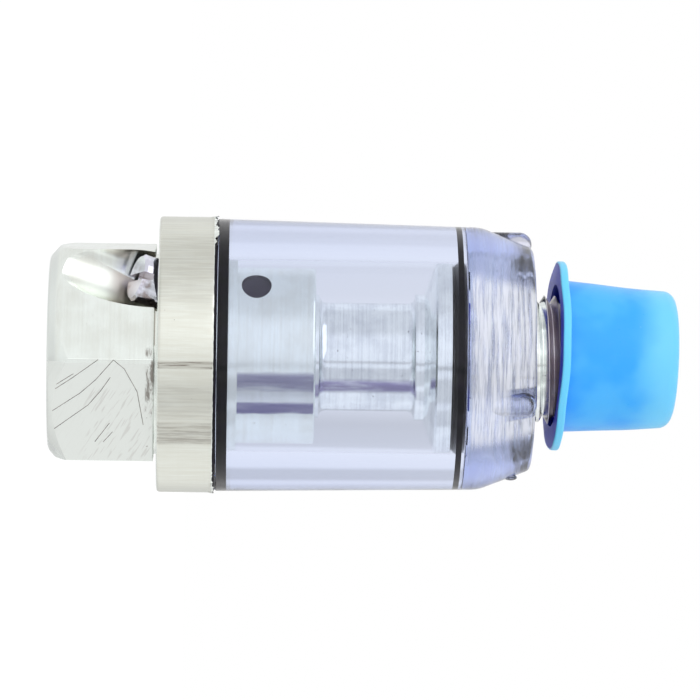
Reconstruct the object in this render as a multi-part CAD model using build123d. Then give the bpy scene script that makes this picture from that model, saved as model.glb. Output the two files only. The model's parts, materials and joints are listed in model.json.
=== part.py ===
from build123d import *
from math import cos, radians, sin, tan
import os

# In-line lubricator for compressed air, standing on its inlet end.
# Millimetres. The bore lies on Z, the inlet face is z = 0 and air leaves upwards.
# A place round the axis is an angle in degrees from -Y towards -X.

# Hexagon and flange of the inlet head
hex_across_flats = 27.8
hex_corner_angle = -4.0
hex_sideways = -0.32
hex_length = 14.4
hex_chamfer_height = 3.2
hex_face_d = 25.4
hex_face_round = 1.3
groove_depth = 0.35
groove_width = 0.4
flange_d = 36.5
flange_width = 7.3
flange_round = 0.5

# Spigot and socket of the inlet head, inside the bowl
spigot_gap = 0.07
spigot_length = 3.0
oil_gap = 1.1
socket_length = 10.3
socket_round = 0.35

# Bores of the inlet head
port_core_d = 15.1
port_length = 12.4
port_chamfer = 1.05
insert_seat_d = 14.0
joint_thread_d = 14.0
joint_thread_length = 4.0
joint_thread_depth = 0.5
fit_gap = 0.02

# Slanted seat of the metering screw
screw_angle = 42.5
screw_slant = 24.3
jet_above_throat = 0.29
scoop_clearance = 0.9
scoop_depth = 1.0
seal_land = 0.45
screw_thread_d = 4.0
screw_thread_end = 8.0
needle_d = 1.8
needle_gap = 0.1
needle_seat = 12.4
needle_tip_d = 0.4
jet_d = 1.1
jet_breakout = 1.2
running_gap = 0.05

# Metering screw
screw_head_d = 6.4
screw_head_height = 4.1
screw_head_gap = 0.05
screw_head_edge = 0.35
screw_slot_width = 1.0
screw_slot_depth = 1.3
screw_ring_cord = 1.0
screw_ring_start = 2.75
screw_ring_groove_d = 3.8

# Oil hole, wick and bleed hole
oil_hole_angle = 45.0
oil_hole_height = 2.5
oil_hole_d = 3.9
oil_hole_depth = 2.5
wick_recess = 0.45
wick_length = 1.3
bleed_d = 1.2
bleed_height = 0.9

# Venturi insert
insert_length = 13.0
insert_mouth_wall = 0.68
throat_d = 7.0
throat_length = 1.8
diffuser_length = 1.5
jet_groove_depth = 0.6
jet_groove_width = 1.4
jet_port_count = 4

# Outlet stem
stem_bore_d = 9.6
stem_d = 14.3
stem_collar_d = 16.4
stem_collar_width = 0.5
stem_round = 1.0
stem_span = 15.7
foot_d = 16.8
foot_width = 1.2
cone_height = 1.35
band_gap = 0.15
band_width = 2.4
band_edge = 0.25
bowl_thread_d = 18.0
neck_d = 16.6
neck_length = 1.1
outlet_thread_d = 17.1
outlet_thread_length = 12.4
outlet_taper = 1 / 16
outlet_edge = 0.6

# Seals
o_ring_cord = 1.8
stem_ring_cord = 1.0
seal_gap = 0.02

# Bowl
bowl_rim_step = 0.2
bowl_draft = 0.65
bowl_cone_step = 2.7
bowl_wall = 5.3
bowl_rim_gap = 0.4
bowl_end_wall = 8.9
bowl_cone_height = 6.9
bowl_end_round = 0.8
bowl_rim_round = 0.3
lug_count = 3
lug_first_angle = -22.4
lug_d = 3.2
lug_setback = 0.4
lug_length = 7.4

# Outlet cap
cap_rim_reach = 2.5
cap_rim_width = 1.05
cap_mouth_gap = 0.85
cap_draft = 1.05
cap_length = 15.9
cap_wall = 0.65
cap_end_round = 1.5
cap_rim_height = 1.8
cap_sideways = -0.52
cap_forward = -0.38
cap_lean = 1.5
cap_yaw = 2.6

# Heights that follow from the lengths above
flange_bottom = hex_length
flange_top = flange_bottom + flange_width
spigot_top = flange_top + spigot_length
socket_top = spigot_top + socket_length
joint_bottom = socket_top - joint_thread_length
band_bottom = socket_top + stem_span
band_top = band_bottom + band_width
hub_top = band_top + o_ring_cord
bowl_rim = flange_top + bowl_rim_gap
bowl_shoulder = hub_top + 2 * seal_gap
bowl_end = bowl_shoulder + bowl_end_wall
thread_start = bowl_end + neck_length
outlet_end = thread_start + outlet_thread_length
cap_rim = thread_start + cap_rim_height

# Diameters and radii that fit one another
groove_d = hex_across_flats - 2 * (abs(hex_sideways) + groove_depth)
bowl_rim_d = flange_d - 2 * bowl_rim_step
bowl_bore_d = bowl_rim_d - 2 * bowl_wall
spigot_d = bowl_bore_d - 2 * spigot_gap
socket_d = bowl_bore_d - 2 * oil_gap
band_d = bowl_bore_d - 2 * band_gap
bowl_shoulder_d = bowl_rim_d - 2 * bowl_draft
bowl_end_d = bowl_shoulder_d - 2 * bowl_cone_step
lug_reach = bowl_shoulder_d / 2 - lug_setback
port_mouth_d = port_core_d + 2 * port_chamfer
joint_thread_core_d = joint_thread_d - 2 * joint_thread_depth
insert_mouth_d = insert_seat_d - 2 * (fit_gap + insert_mouth_wall)
scoop_d = screw_head_d + 2 * scoop_clearance
seal_bore_d = screw_ring_groove_d + 2 * (screw_ring_cord + running_gap)
seal_bore_end = screw_ring_start + screw_ring_cord + seal_land
jet_height = joint_bottom - diffuser_length - throat_length / 2 + jet_above_throat
jet_radius = insert_seat_d / 2
screw_axis_radius = jet_radius + (jet_height - flange_bottom) * tan(radians(screw_slant))
cap_open_d = outlet_thread_d + 2 * (cap_mouth_gap + cap_wall)
cap_end_d = cap_open_d - 2 * cap_draft
cap_rim_d = cap_open_d + 2 * cap_rim_reach
ring_seat_r = spigot_d / 2 + seal_gap
rim_recess_r = ring_seat_r + o_ring_cord + seal_gap
hub_r = bowl_bore_d / 2 - o_ring_cord - 2 * seal_gap


def turned(*outline):
    # A closed outline of (radius, height) points, turned about Z
    face = make_face(Polyline(*[(r, 0, z) for r, z in outline], close=True))
    return revolve(face, axis=Axis.Z)


def tube(outer_d, inner_d, bottom, top):
    return turned((inner_d / 2, bottom), (outer_d / 2, bottom), (outer_d / 2, top), (inner_d / 2, top))


def rod(diameter, bottom, top):
    return turned((0, bottom), (diameter / 2, bottom), (diameter / 2, top), (0, top))


def ring(middle_r, cord, height):
    section = Plane.XZ * Pos(middle_r, height) * Circle(cord / 2)
    return revolve(section, axis=Axis.Z)


def round_edge(part, radius, height, size):
    # Rounds the circular edges of this radius at this height
    edges = [
        e for e in part.edges().filter_by(GeomType.CIRCLE)
        if abs(e.radius - radius) < 0.01 and abs(e.arc_center.Z - height) < 0.01
    ]
    return fillet(edges, size)


def radial(angle):
    # Turns +X to the given place round the axis
    return Rot(0, 0, 270 - angle)


def screw_frame():
    # +Z runs down the metering screw's hole; z = 0 is where its axis meets the flange's lower face
    return radial(screw_angle) * Pos(screw_axis_radius, 0, flange_bottom) * Rot(0, -screw_slant, 0)


def hexagon():
    # Hexagonal bar end, a little off the bore, with a turned chamfer and a rounded face edge
    bar = extrude(RegularPolygon(hex_across_flats / 2, 6, major_radius=False), hex_length)
    bar = Pos(hex_sideways, 0, 0) * Rot(0, 0, 270 - hex_corner_angle) * bar
    corner_r = hex_across_flats / 2 / cos(radians(30)) + abs(hex_sideways)
    envelope = turned(
        (0, 0),
        (hex_face_d / 2, 0),
        (corner_r + fit_gap, hex_chamfer_height),
        (corner_r + fit_gap, hex_length),
        (0, hex_length),
    )
    envelope = round_edge(envelope, hex_face_d / 2, 0, hex_face_round)
    return (bar & envelope) - tube(2 * corner_r + 1, groove_d, hex_length - groove_width, hex_length + 1)


def inlet_head():
    flange = rod(flange_d, flange_bottom - groove_width, flange_top)
    flange = flange - tube(flange_d + 1, groove_d, 0, flange_bottom)
    flange = round_edge(flange, flange_d / 2, flange_bottom, flange_round)
    socket = rod(socket_d, spigot_top, socket_top)
    socket = round_edge(socket, socket_d / 2, socket_top, socket_round)
    body = hexagon() + flange + rod(spigot_d, flange_top, spigot_top) + socket
    # Inlet port with its mouth, the insert's seat, and the socket's thread with the ring's pocket
    pocket_r = joint_thread_d / 2 + stem_ring_cord + 2 * seal_gap
    body -= turned(
        (0, -1),
        (port_mouth_d / 2 + 1, -1),
        (port_core_d / 2, port_chamfer),
        (port_core_d / 2, port_length),
        (insert_seat_d / 2, port_length + port_chamfer),
        (insert_seat_d / 2, joint_bottom),
        (joint_thread_core_d / 2, joint_bottom),
        (joint_thread_core_d / 2, joint_bottom + fit_gap),
        (joint_thread_d / 2 + fit_gap, joint_bottom + fit_gap),
        (joint_thread_d / 2 + fit_gap, socket_top - stem_ring_cord),
        (pocket_r, socket_top - stem_ring_cord),
        (pocket_r, socket_top + 1),
        (0, socket_top + 1),
    )
    # Scoop, seal bore, thread, needle bore and jet of the metering screw, down one slanted axis
    reach = hex_length / cos(radians(screw_slant)) + scoop_d
    jet_end = (screw_axis_radius - jet_radius) / sin(radians(screw_slant)) + jet_breakout
    cuts = rod(scoop_d, -reach, scoop_depth)
    cuts += rod(seal_bore_d, 0, seal_bore_end)
    cuts += rod(screw_thread_d + 2 * running_gap, 0, screw_thread_end)
    cuts += rod(needle_d + 2 * needle_gap, 0, needle_seat)
    cuts += rod(jet_d, 0, jet_end)
    body -= screw_frame() * cuts
    # Oil hole, and the bleed hole on the far side
    oil_hole = Rot(0, 90, 0) * rod(oil_hole_d, socket_d / 2 - oil_hole_depth, socket_d / 2 + 1)
    bleed = Rot(0, 90, 0) * rod(bleed_d, insert_seat_d / 2 - 1, socket_d / 2 + 1)
    body -= Pos(0, 0, spigot_top + oil_hole_height) * radial(oil_hole_angle) * oil_hole
    body -= Pos(0, 0, spigot_top + bleed_height) * radial(oil_hole_angle + 180) * bleed
    return body


def venturi_insert():
    # Restrictor pressed in from the inlet, with a jet groove and ports at its throat
    bottom = joint_bottom - insert_length
    outer_r = insert_seat_d / 2 - fit_gap
    throat_top = joint_bottom - diffuser_length
    throat_bottom = throat_top - throat_length
    body = turned(
        (insert_mouth_d / 2, bottom),
        (outer_r, bottom),
        (outer_r, joint_bottom),
        (stem_bore_d / 2, joint_bottom),
        (throat_d / 2, throat_top),
        (throat_d / 2, throat_bottom),
    )
    groove_bottom = jet_height - jet_groove_width / 2
    groove_top = jet_height + jet_groove_width / 2
    body -= tube(insert_seat_d + 1, 2 * (outer_r - jet_groove_depth), groove_bottom, groove_top)
    port = Rot(0, 90, 0) * rod(bleed_d, throat_d / 2 - 1, outer_r + 1)
    for i in range(jet_port_count):
        body -= Pos(0, 0, jet_height) * Rot(0, 0, 360 * i / jet_port_count) * port
    body -= Pos(0, 0, spigot_top + bleed_height) * radial(oil_hole_angle + 180) * port
    return body


def oil_wick():
    top = socket_d / 2 - wick_recess
    plug = Rot(0, 90, 0) * rod(oil_hole_d - 2 * fit_gap, top - wick_length, top)
    return Pos(0, 0, spigot_top + oil_hole_height) * radial(oil_hole_angle) * plug


def metering_screw():
    # Slotted head, sealed shank with its ring groove, thread, and needle with a conical point
    under_head = scoop_depth - screw_head_gap
    head_top = under_head - screw_head_height
    shank_r = seal_bore_d / 2 - running_gap
    groove_end = screw_ring_start + screw_ring_cord + 2 * seal_gap
    thread_end = screw_thread_end - running_gap
    point_length = (needle_d - needle_tip_d) / 2 * 1.6
    point_start = needle_seat - (needle_d - jet_d) / 2 * 1.6 - 2 * running_gap
    body = turned(
        (0, head_top),
        (screw_head_d / 2 - screw_head_edge, head_top),
        (screw_head_d / 2, head_top + screw_head_edge),
        (screw_head_d / 2, under_head),
        (shank_r, under_head),
        (shank_r, screw_ring_start),
        (screw_ring_groove_d / 2, screw_ring_start),
        (screw_ring_groove_d / 2, groove_end),
        (screw_thread_d / 2, groove_end),
        (screw_thread_d / 2, thread_end),
        (needle_d / 2, thread_end),
        (needle_d / 2, point_start),
        (needle_tip_d / 2, point_start + point_length),
        (0, point_start + point_length),
    )
    slot = Pos(0, 0, head_top) * Box(screw_head_d + 1, screw_slot_width, 2 * screw_slot_depth)
    return screw_frame() * (body - Rot(0, 0, 35) * slot)


def metering_screw_o_ring():
    middle_r = screw_ring_groove_d / 2 + seal_gap + screw_ring_cord / 2
    height = screw_ring_start + seal_gap + screw_ring_cord / 2
    return screw_frame() * ring(middle_r, screw_ring_cord, height)


def outlet_stem():
    # Threaded end, collar, thin stem, cone, band, hub, bowl thread, neck and taper thread at its crests
    stem_r = stem_d / 2
    collar_top = socket_top + stem_collar_width
    collar_r = stem_collar_d / 2
    foot_r = foot_d / 2
    cone_bottom = band_bottom - cone_height
    foot_bottom = cone_bottom - foot_width
    crest_r = outlet_thread_d / 2
    end_r = crest_r - outlet_taper / 2 * outlet_thread_length
    joint_r = joint_thread_d / 2
    bore_r = stem_bore_d / 2
    start = joint_bottom + 2 * fit_gap
    shoulder = socket_top + fit_gap
    thread_top = bowl_end - neck_length
    body = turned(
        (bore_r, start),
        (joint_r, start),
        (joint_r, shoulder),
        (collar_r, shoulder),
        (collar_r, collar_top),
        (stem_r, collar_top),
        (stem_r, foot_bottom),
        (foot_r, foot_bottom),
        (foot_r, cone_bottom),
        (band_d / 2 - band_edge, band_bottom),
        (band_d / 2, band_bottom + band_edge),
        (band_d / 2, band_top - band_edge),
        (band_d / 2 - band_edge, band_top),
        (hub_r, band_top),
        (hub_r, hub_top),
        (bowl_thread_d / 2, hub_top),
        (bowl_thread_d / 2, thread_top),
        (neck_d / 2, thread_top + outlet_edge),
        (neck_d / 2, thread_start),
        (crest_r, thread_start),
        (end_r, outlet_end - outlet_edge),
        (end_r - outlet_edge, outlet_end),
        (bore_r, outlet_end),
    )
    body = round_edge(body, stem_r, collar_top, stem_round)
    return round_edge(body, stem_r, foot_bottom, stem_round)


def bowl():
    # Clear reservoir: drafted wall, conical thick end with the thread's bore, and three lugs
    cone_bottom = bowl_end - bowl_cone_height
    body = turned(
        (rim_recess_r, bowl_rim),
        (bowl_rim_d / 2, bowl_rim),
        (bowl_shoulder_d / 2, cone_bottom),
        (bowl_end_d / 2, bowl_end),
        (bowl_thread_d / 2 + running_gap, bowl_end),
        (bowl_thread_d / 2 + running_gap, bowl_shoulder),
        (bowl_bore_d / 2, bowl_shoulder),
        (bowl_bore_d / 2, flange_top + o_ring_cord + 2 * seal_gap),
        (rim_recess_r, flange_top + o_ring_cord + 2 * seal_gap),
    )
    body = round_edge(body, bowl_end_d / 2, bowl_end, bowl_end_round)
    body = round_edge(body, bowl_rim_d / 2, bowl_rim, bowl_rim_round)
    lug_top = bowl_end - lug_d / 2
    lug = Pos(0, 0, lug_top - lug_length / 2) * Cylinder(lug_d / 2, lug_length)
    lug += Pos(0, 0, lug_top) * Sphere(lug_d / 2)
    for i in range(lug_count):
        body += radial(lug_first_angle + 360 * i / lug_count) * Pos(lug_reach - lug_d / 2, 0, 0) * lug
    return body


def outlet_cap():
    # Thin tapered cap with a rim, pushed on a little crooked
    inner_open = cap_open_d / 2 - cap_wall
    inner_end = cap_end_d / 2 - cap_wall
    body = turned(
        (inner_open, 0),
        (cap_rim_d / 2, 0),
        (cap_rim_d / 2, cap_rim_width),
        (cap_open_d / 2, cap_rim_width),
        (cap_end_d / 2, cap_length),
        (0, cap_length),
        (0, cap_length - cap_wall),
        (inner_end, cap_length - cap_wall),
    )
    body = round_edge(body, cap_end_d / 2, cap_length, cap_end_round)
    body = round_edge(body, inner_end, cap_length - cap_wall, cap_end_round - cap_wall)
    body = round_edge(body, cap_rim_d / 2, cap_rim_width, 0.35)
    return Pos(cap_sideways, cap_forward, cap_rim) * Rot(-cap_yaw, cap_lean, 0) * body


def seals():
    rim_ring = ring(ring_seat_r + o_ring_cord / 2, o_ring_cord, flange_top + seal_gap + o_ring_cord / 2)
    end_ring_r = bowl_bore_d / 2 - seal_gap - o_ring_cord / 2
    end_ring = ring(end_ring_r, o_ring_cord, band_top + seal_gap + o_ring_cord / 2)
    stem_ring_r = joint_thread_d / 2 + seal_gap + stem_ring_cord / 2
    stem_ring = ring(stem_ring_r, stem_ring_cord, socket_top - stem_ring_cord / 2)
    return {"bowl_rim_o_ring": rim_ring, "bowl_end_o_ring": end_ring, "stem_o_ring": stem_ring}


os.makedirs("parts", exist_ok=True)
nodes = {
    "inlet_head": inlet_head(),
    "venturi_insert": venturi_insert(),
    "oil_wick": oil_wick(),
    "metering_screw": metering_screw(),
    "metering_screw_o_ring": metering_screw_o_ring(),
    "outlet_stem": outlet_stem(),
    "bowl": bowl(),
    "outlet_cap": outlet_cap(),
    **seals(),
}
for name, solid in nodes.items():
    export_step(solid, f"parts/{name}.step")
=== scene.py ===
import bpy
import json
import random
from math import atan2, cos, degrees, radians, sin, tan
from mathutils import Matrix, Vector

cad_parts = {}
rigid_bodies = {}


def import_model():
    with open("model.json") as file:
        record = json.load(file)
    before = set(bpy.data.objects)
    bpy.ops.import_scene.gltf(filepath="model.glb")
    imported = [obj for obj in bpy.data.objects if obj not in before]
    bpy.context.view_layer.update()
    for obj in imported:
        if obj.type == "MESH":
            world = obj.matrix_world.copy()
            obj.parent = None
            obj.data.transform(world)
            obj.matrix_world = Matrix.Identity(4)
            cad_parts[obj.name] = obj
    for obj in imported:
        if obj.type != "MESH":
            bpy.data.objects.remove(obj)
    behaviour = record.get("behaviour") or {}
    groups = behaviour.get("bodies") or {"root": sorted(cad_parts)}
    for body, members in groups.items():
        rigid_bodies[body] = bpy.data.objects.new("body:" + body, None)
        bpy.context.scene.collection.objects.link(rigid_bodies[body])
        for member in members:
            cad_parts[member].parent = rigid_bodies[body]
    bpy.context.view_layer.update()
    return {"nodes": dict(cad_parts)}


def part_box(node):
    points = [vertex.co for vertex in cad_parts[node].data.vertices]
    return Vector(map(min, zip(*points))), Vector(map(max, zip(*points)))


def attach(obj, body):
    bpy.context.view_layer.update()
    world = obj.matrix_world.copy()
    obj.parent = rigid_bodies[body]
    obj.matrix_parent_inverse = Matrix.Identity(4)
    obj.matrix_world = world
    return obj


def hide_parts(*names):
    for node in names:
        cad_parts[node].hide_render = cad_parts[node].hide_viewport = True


# Air line lubricator, standing on its inlet end. Metres, with the bore on Z; the pieces' own sizes
# below are in millimetres. Six pieces are made here and five keep the frame's shape.

bpy.ops.object.select_all(action="SELECT")
bpy.ops.object.delete()
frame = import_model()
mm = 0.001
mergeGap = 0.0005 * mm
bowlLow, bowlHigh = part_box("bowl")
stemLow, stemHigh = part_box("outlet_stem")


# Tools for modelling

def pickNone():
    bpy.ops.object.select_all(action="DESELECT")


def pickOnly(piece):
    pickNone()
    piece.select_set(True)
    bpy.context.view_layer.objects.active = piece


def clearMesh():
    # Deselects every face, edge and vertex of the piece in hand
    bpy.ops.object.mode_set(mode="EDIT")
    bpy.ops.mesh.select_all(action="DESELECT")
    bpy.ops.object.mode_set(mode="OBJECT")


def applyModifier(piece, kind, **settings):
    pickOnly(piece)
    modifier = piece.modifiers.new(kind.lower(), kind)
    for key, value in settings.items():
        setattr(modifier, key, value)
    bpy.ops.object.modifier_apply(modifier=modifier.name)


def drawOutline(name, points):
    # One point is pulled from place to place in the XZ plane, in millimetres, and back to its start
    pickNone()
    bpy.ops.mesh.primitive_plane_add(size=mm)
    piece = bpy.context.object
    piece.name = name
    bpy.ops.object.mode_set(mode="EDIT")
    bpy.ops.mesh.merge(type="CENTER")
    bpy.ops.transform.translate(value=(points[0][0] * mm, 0, points[0][1] * mm))
    for here, there in zip(points, points[1:] + points[:1]):
        step = ((there[0] - here[0]) * mm, 0, (there[1] - here[1]) * mm)
        bpy.ops.mesh.extrude_region_move(TRANSFORM_OT_translate={"value": step})
    bpy.ops.mesh.select_all(action="SELECT")
    bpy.ops.mesh.remove_doubles(threshold=mergeGap)
    bpy.ops.object.mode_set(mode="OBJECT")
    return piece


def roundCorners(piece, corners, segments=5):
    # Rounds the outline's corners nearest to the given (radius, height, size) in millimetres
    for radius, height, size in corners:
        pickOnly(piece)
        place = Vector((radius * mm, 0, height * mm))
        clearMesh()
        min(piece.data.vertices, key=lambda v: (v.co - place).length).select = True
        bpy.ops.object.mode_set(mode="EDIT")
        bpy.ops.mesh.bevel(offset=size * mm, segments=segments, affect="VERTICES")
        bpy.ops.object.mode_set(mode="OBJECT")


def turnAboutAxis(piece, steps, pitch=0, turns=1):
    applyModifier(
        piece, "SCREW", axis="Z", steps=steps, render_steps=steps, screw_offset=pitch * mm,
        iterations=turns, use_merge_vertices=True, merge_threshold=mergeGap,
    )
    bpy.ops.object.mode_set(mode="EDIT")
    bpy.ops.mesh.select_all(action="SELECT")
    bpy.ops.mesh.remove_doubles(threshold=mergeGap)
    bpy.ops.mesh.delete_loose()
    bpy.ops.mesh.select_all(action="SELECT")
    bpy.ops.mesh.fill_holes(sides=8)
    bpy.ops.mesh.select_all(action="SELECT")
    bpy.ops.mesh.normals_make_consistent(inside=False)
    bpy.ops.object.mode_set(mode="OBJECT")
    return piece


def combine(piece, tool, operation="DIFFERENCE"):
    if piece.data.materials and not tool.data.materials:
        tool.data.materials.append(piece.data.materials[0])
    applyModifier(
        piece, "BOOLEAN", object=tool, operation=operation, solver="EXACT", material_mode="TRANSFER"
    )
    bpy.data.objects.remove(tool)


def addRod(radius, length, sides):
    # A round rod from the origin up the Z axis
    pickNone()
    bpy.ops.mesh.primitive_cylinder_add(
        vertices=sides, radius=radius * mm, depth=length * mm, location=(0, 0, length / 2 * mm)
    )
    rod = bpy.context.object
    bpy.ops.object.transform_apply()
    return rod


def moveTo(piece, frameMatrix):
    pickOnly(piece)
    piece.matrix_world = frameMatrix
    bpy.ops.object.transform_apply()
    return piece


def aroundAxis(angle):
    # Turns +X to a place round the bore: degrees from -Y towards -X
    return Matrix.Rotation(radians(270 - angle), 4, "Z")


flankAngle = 30  # half the angle of a thread's V
threadOverlap = 0.12  # how far the tool stands out past the crest, in millimetres


def threadTool(thread, inside=False):
    # A helical V that cuts a thread: its point lies at the root and its wide side just off the crest
    pitch, root, crest = thread["pitch"], thread["rootRadius"], thread["crestRadius"]
    outwards = -1 if inside else 1
    over = crest + outwards * threadOverlap
    halfPoint = thread["rootFlat"] / 2
    halfWide = halfPoint + abs(over - root) * tan(radians(flankAngle))
    middle = thread["start"]
    tool = drawOutline("thread_tool", [
        (root, middle - halfPoint),
        (over, middle - halfWide),
        (over, middle + halfWide),
        (root, middle + halfPoint),
    ])
    turnAboutAxis(tool, thread["steps"], pitch, thread["turns"])
    if thread["taper"]:
        for v in tool.data.vertices:  # a taper thread closes in by half its taper on the radius
            radius = Vector(v.co[:2]).length
            narrower = (v.co.z - thread["taperStart"] * mm) * thread["taper"] / 2
            v.co.x *= 1 - narrower / radius
            v.co.y *= 1 - narrower / radius
    return tool


def smoothShade(piece, angle=20, flatSize=None):
    pickOnly(piece)
    bpy.ops.object.transform_apply(location=True, rotation=True, scale=True)
    bpy.ops.object.shade_smooth_by_angle(angle=radians(angle))
    if flatSize:  # milled faces larger than this, in square millimetres, stay quite flat
        for face in piece.data.polygons:
            face.use_smooth = face.area < flatSize * mm * mm
    applyModifier(piece, "WEIGHTED_NORMAL", keep_sharp=True, weight=100)


def dressPiece(piece, material, body, node):
    if not piece.data.materials:
        piece.data.materials.append(material)
    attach(piece, body)
    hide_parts(node)


# Tools for materials

class Wire:
    def __init__(self, graph, socket):
        self.graph = graph
        self.socket = socket

    def __add__(self, other):
        return self.graph.maths("ADD", self, other)

    def __sub__(self, other):
        return self.graph.maths("SUBTRACT", self, other)

    def __rsub__(self, other):
        return self.graph.maths("SUBTRACT", other, self)

    def __mul__(self, other):
        return self.graph.maths("MULTIPLY", self, other)

    __radd__ = __add__
    __rmul__ = __mul__


class Graph:
    def __init__(self, tree):
        self.tree = tree

    def add(self, kind, settings=None, inputs=None, output=0):
        node = self.tree.nodes.new("ShaderNode" + kind)
        for key, value in (settings or {}).items():
            setattr(node, key, value)
        for key, value in (inputs or {}).items():
            self.set(node.inputs[key], value)
        return Wire(self, node.outputs[output])

    def set(self, socket, value):
        if isinstance(value, Wire):
            self.tree.links.new(value.socket, socket)
        else:
            socket.default_value = value

    def paint(self, sockets):
        for name, value in sockets.items():
            self.set(self.shader.inputs[name], value)

    def maths(self, operation, *values):
        return self.add("Math", {"operation": operation}, dict(enumerate(values)))

    def split(self, vector):
        outputs = self.add("SeparateXYZ", None, {"Vector": vector}).socket.node.outputs
        return [Wire(self, output) for output in outputs]

    def noise(self, scale, stretch=(1, 1, 1), detail=3, roughness=0.55):
        # Scale is features per millimetre
        spot = self.add("TexCoord", output="Object")
        where = self.add("Mapping", None, {"Vector": spot, "Scale": tuple(s * scale / mm for s in stretch)})
        inputs = {"Vector": where, "Scale": 1, "Detail": detail, "Roughness": roughness}
        return self.add("TexNoise", None, inputs)

    def strokes(self, tilt, width, length):
        # Short marks across the view: tilt in degrees from upright, width and length in millimetres
        spot = self.add("TexCoord", output="Object")
        size = (length * mm, length * mm, width * mm)
        inputs = {"Vector": spot, "Scale": size, "Rotation": (0, radians(tilt), 0)}
        where = self.add("Mapping", {"vector_type": "TEXTURE"}, inputs)
        return self.add("TexNoise", None, {"Vector": where, "Scale": 1, "Detail": 1})

    def spots(self):
        # Where a point lies along X, Y and Z, in millimetres
        return [part * (1 / mm) for part in self.split(self.add("TexCoord", output="Object"))]

    def height(self):
        return self.spots()[2]

    def radius(self):
        # Distance from the bore
        x, y = self.spots()[:2]
        return self.maths("SQRT", x * x + y * y)

    def angle(self):
        # Place round the bore: degrees from -Y towards -X
        x, y = self.spots()[:2]
        return self.maths("ARCTAN2", x * -1, y * -1) * degrees(1)

    def depthBelow(self, angle, distance):
        # How far a point lies below a flat that faces this place round the bore
        x, y = self.spots()[:2]
        return distance + x * sin(radians(angle)) + y * cos(radians(angle))

    def bands(self, value, rows):
        # Soft bands, each given as its start, end, softness and strength
        return sum(self.within(value, low, high, soft) * strength for low, high, soft, strength in rows)

    def within(self, value, low, high, soft):
        return self.step(value, low - soft, low) * self.step(value, high, high + soft, 1, 0)

    def step(self, value, low, high, outLow=0, outHigh=1):
        inputs = {"Value": value, "From Min": low, "From Max": high, "To Min": outLow, "To Max": outHigh}
        return self.add("MapRange", {"interpolation_type": "SMOOTHSTEP"}, inputs)

    def blend(self, mask, *pair):
        # Each of the two is a link, a finished colour of four values, or a colour seen on a screen
        first, second = [colour(*c) if isinstance(c, tuple) and len(c) == 3 else c for c in pair]
        return self.add("Mix", {"data_type": "RGBA"}, {"Factor": mask, 6: first, 7: second}, output=2)

    def bump(self, height, distance, normal=None):
        inputs = {"Height": height, "Distance": distance * mm}
        if normal:
            inputs["Normal"] = normal
        return self.add("Bump", None, inputs)


def newMaterial(name, sockets):
    material = bpy.data.materials.new(name)
    material.use_nodes = True
    graph = Graph(material.node_tree)
    graph.shader = material.node_tree.nodes["Principled BSDF"]
    graph.material = material
    graph.paint(sockets)
    return graph


def colour(red, green, blue):
    # A colour seen on a screen, 0 to 255, turned into the four values that a shader wants
    shares = [v / 255 for v in (red, green, blue)]
    return (*[((s + 0.055) / 1.055) ** 2.4 if s > 0.04 else s / 12.92 for s in shares], 1)


# Finishes

headFinish = {
    "light": (247, 253, 249), "dull": (236, 240, 234), "flat": (240, 244, 240), "shade": (206, 204, 200),
    "edge": (228, 233, 230), "ring": (222, 223, 213), "dirtAndShade": (112, 100, 92), "reflectionTint": (134, 130, 164),
    "scoopShade": (178, 160, 142), "roughness": 0.22, "lineDepth": 0.006,
    # Places round the bore in degrees, and heights in millimetres
    "flatPlaces": (-63, -5), "flatHeights": (0.2, 14), "shadePlaces": (-60, -22), "shadeHeights": (6, 13.5),
    "groovePlaces": (-36, 0), "grooveHeights": (13.1, 13.9), "ringHeights": (14.6, 21.6),
    "scoopPlaces": (5, 55), "scoopHeights": (2.5, 14), "scoopAngle": 26, "flatDistance": 13.9,
    "socketHeights": (24.9, 34.7),
    # Painted reflections on the flange and on the socket: start, end, softness and strength of each streak
    "ringReflections": [(-5.4, -3.2, 0.8, 0.85), (-39, -30, 1.5, 0.5), (-26, -14, 4, 0.16), (26, 75, 12, 0.14)],
    "socketReflections": [(-18, -12.5, 4, 0.85), (-34, -29.5, 2.5, 1), (-27, -21, 2, 0.25)],
    "reflectionWander": 5,
}


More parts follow.
